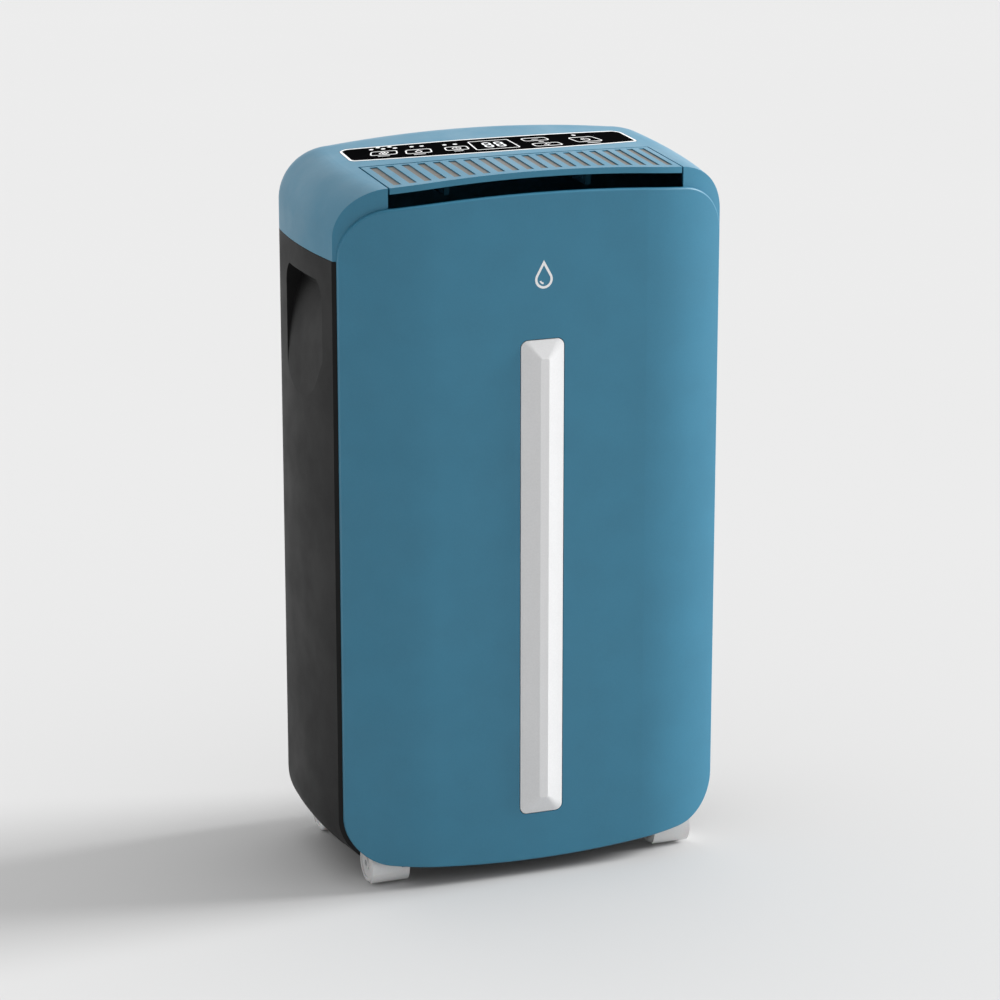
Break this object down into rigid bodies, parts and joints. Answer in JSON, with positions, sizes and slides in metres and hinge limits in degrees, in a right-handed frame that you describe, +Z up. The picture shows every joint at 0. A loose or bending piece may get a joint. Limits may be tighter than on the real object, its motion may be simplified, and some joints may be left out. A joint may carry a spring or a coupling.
{
  "type": "portable dehumidifier",
  "caption": "Upright portable dehumidifier with bowed front panel, light bar, slotted top outlet flap, side grips, rear filter and tank, on twin-wheel casters.",
  "frame": {"origin": "on the floor, below the middle of the object's box", "axes": "+X to the right seen from the front, +Y to the rear, +Z up; the front panel faces -Y"},
  "size_m": [0.377, 0.2274, 0.6614],
  "materials": {
    "teal_shell": "satin, very fine grain",
    "white_light_bar": "satin translucent white",
    "charcoal_shell": "satin, fine spark grain",
    "flap_insert": "matt",
    "black_glass": "glossy",
    "white_caster": "satin",
    "steel": "bright",
    "inner_plastic": "moulded",
    "tank_plastic": "smooth",
    "float_foam": "matt",
    "circuit_board": "satin",
    "display_glass": "gloss",
    "painted_steel": "gloss paint",
    "fin_aluminium": "bare",
    "copper": "bare",
    "rubber": "matt",
    "mesh": "fine nylon net"
  },
  "bodies": {
    "root": {"accumulator": "painted_steel", "base": "inner_plastic", "bottom_cover": "charcoal_shell", "capacitor": "fin_aluminium", "capillary_tube": "copper", "compressor": "painted_steel", "compressor_bolts": "steel", "compressor_feet": "rubber", "condenser_fins": "fin_aluminium", "condenser_tube": "copper", "control_board": "circuit_board", "control_overlay": "black_glass", "cord_gland": "rubber", "cover_screws": "steel", "discharge_pipe": "copper", "drain_spigot": "inner_plastic", "drip_tray": "inner_plastic", "electronics_box": "inner_plastic", "electronics_cover": "inner_plastic", "evaporator_fins": "fin_aluminium", "evaporator_tube": "copper", "fan_motor": "painted_steel", "fan_scroll": "inner_plastic", "front_frame": "charcoal_shell", "front_panel": "teal_shell", "left_casing": "charcoal_shell", "light_bar_board": "circuit_board", "light_bar_lens": "white_light_bar", "main_board": "circuit_board", "mid_deck": "inner_plastic", "number_display": "display_glass", "outlet_duct": "inner_plastic", "outlet_flap_pins": "steel", "outlet_guard": "inner_plastic", "rear_cover": "charcoal_shell", "right_casing": "charcoal_shell", "suction_pipe": "copper", "top_cover": "teal_shell"},
    "flap": {"outlet_flap": "teal_shell", "outlet_flap_insert": "flap_insert"},
    "filter": {"filter_frame": "charcoal_shell", "filter_mesh": "mesh"},
    "tank": {"water_tank": "tank_plastic", "tank_lid": "tank_plastic"},
    "tank_handle": {"tank_handle": "tank_plastic"},
    "tank_float": {"tank_float": "float_foam"},
    "fan": {"impeller": "inner_plastic", "fan_shaft": "steel"},
    "caster_front_left": {"caster_hood_front_left": "white_caster"},
    "wheels_front_left": {"caster_wheels_front_left": "white_caster", "caster_axle_front_left": "steel"},
    "caster_front_right": {"caster_hood_front_right": "white_caster"},
    "wheels_front_right": {"caster_wheels_front_right": "white_caster", "caster_axle_front_right": "steel"},
    "caster_rear_left": {"caster_hood_rear_left": "white_caster"},
    "wheels_rear_left": {"caster_wheels_rear_left": "white_caster", "caster_axle_rear_left": "steel"},
    "caster_rear_right": {"caster_hood_rear_right": "white_caster"},
    "wheels_rear_right": {"caster_wheels_rear_right": "white_caster", "caster_axle_rear_right": "steel"}
  },
  "joints": [
    {"name": "flap_hinge", "type": "hinge", "parent": "root", "child": "flap", "pos_m": [0, -0.01, 0.6477], "axis": [-1, 0, 0], "range_deg": [0, 55]},
    {"name": "tank_slide", "type": "slide", "parent": "root", "child": "tank", "axis": [0, 1, 0], "range_m": [0, 0.2]},
    {"name": "tank_handle_hinge", "type": "hinge", "parent": "tank", "child": "tank_handle", "pos_m": [0, 0.078, 0.2239], "axis": [-1, 0, 0], "range_deg": [0, 90]},
    {"name": "tank_float_hinge", "type": "hinge", "parent": "tank", "child": "tank_float", "pos_m": [-0.06, 0.066, 0.2093], "axis": [-1, 0, 0], "range_deg": [0, 18]},
    {"name": "filter_slide", "type": "slide", "parent": "root", "child": "filter", "axis": [0, 1, 0], "range_m": [0, 0.06]},
    {"name": "fan_spin", "type": "hinge", "parent": "root", "child": "fan", "pos_m": [0, -0.01, 0.3713], "axis": [0, 1, 0], "continuous": true},
    {"name": "swivel_front_left", "type": "hinge", "parent": "root", "child": "caster_front_left", "pos_m": [-0.1386, -0.061, 0.045], "axis": [0, 0, 1], "continuous": true},
    {"name": "roll_front_left", "type": "hinge", "parent": "caster_front_left", "child": "wheels_front_left", "pos_m": [-0.1386, -0.069, 0.018], "axis": [1, 0, 0], "continuous": true},
    {"name": "swivel_front_right", "type": "hinge", "parent": "root", "child": "caster_front_right", "pos_m": [0.1386, -0.061, 0.045], "axis": [0, 0, 1], "continuous": true},
    {"name": "roll_front_right", "type": "hinge", "parent": "caster_front_right", "child": "wheels_front_right", "pos_m": [0.1386, -0.069, 0.018], "axis": [1, 0, 0], "continuous": true},
    {"name": "swivel_rear_left", "type": "hinge", "parent": "root", "child": "caster_rear_left", "pos_m": [-0.1386, 0.061, 0.045], "axis": [0, 0, 1], "continuous": true},
    {"name": "roll_rear_left", "type": "hinge", "parent": "caster_rear_left", "child": "wheels_rear_left", "pos_m": [-0.1386, 0.069, 0.018], "axis": [1, 0, 0], "continuous": true},
    {"name": "swivel_rear_right", "type": "hinge", "parent": "root", "child": "caster_rear_right", "pos_m": [0.1386, 0.061, 0.045], "axis": [0, 0, 1], "continuous": true},
    {"name": "roll_rear_right", "type": "hinge", "parent": "caster_rear_right", "child": "wheels_rear_right", "pos_m": [0.1386, 0.069, 0.018], "axis": [1, 0, 0], "continuous": true}
  ]
}
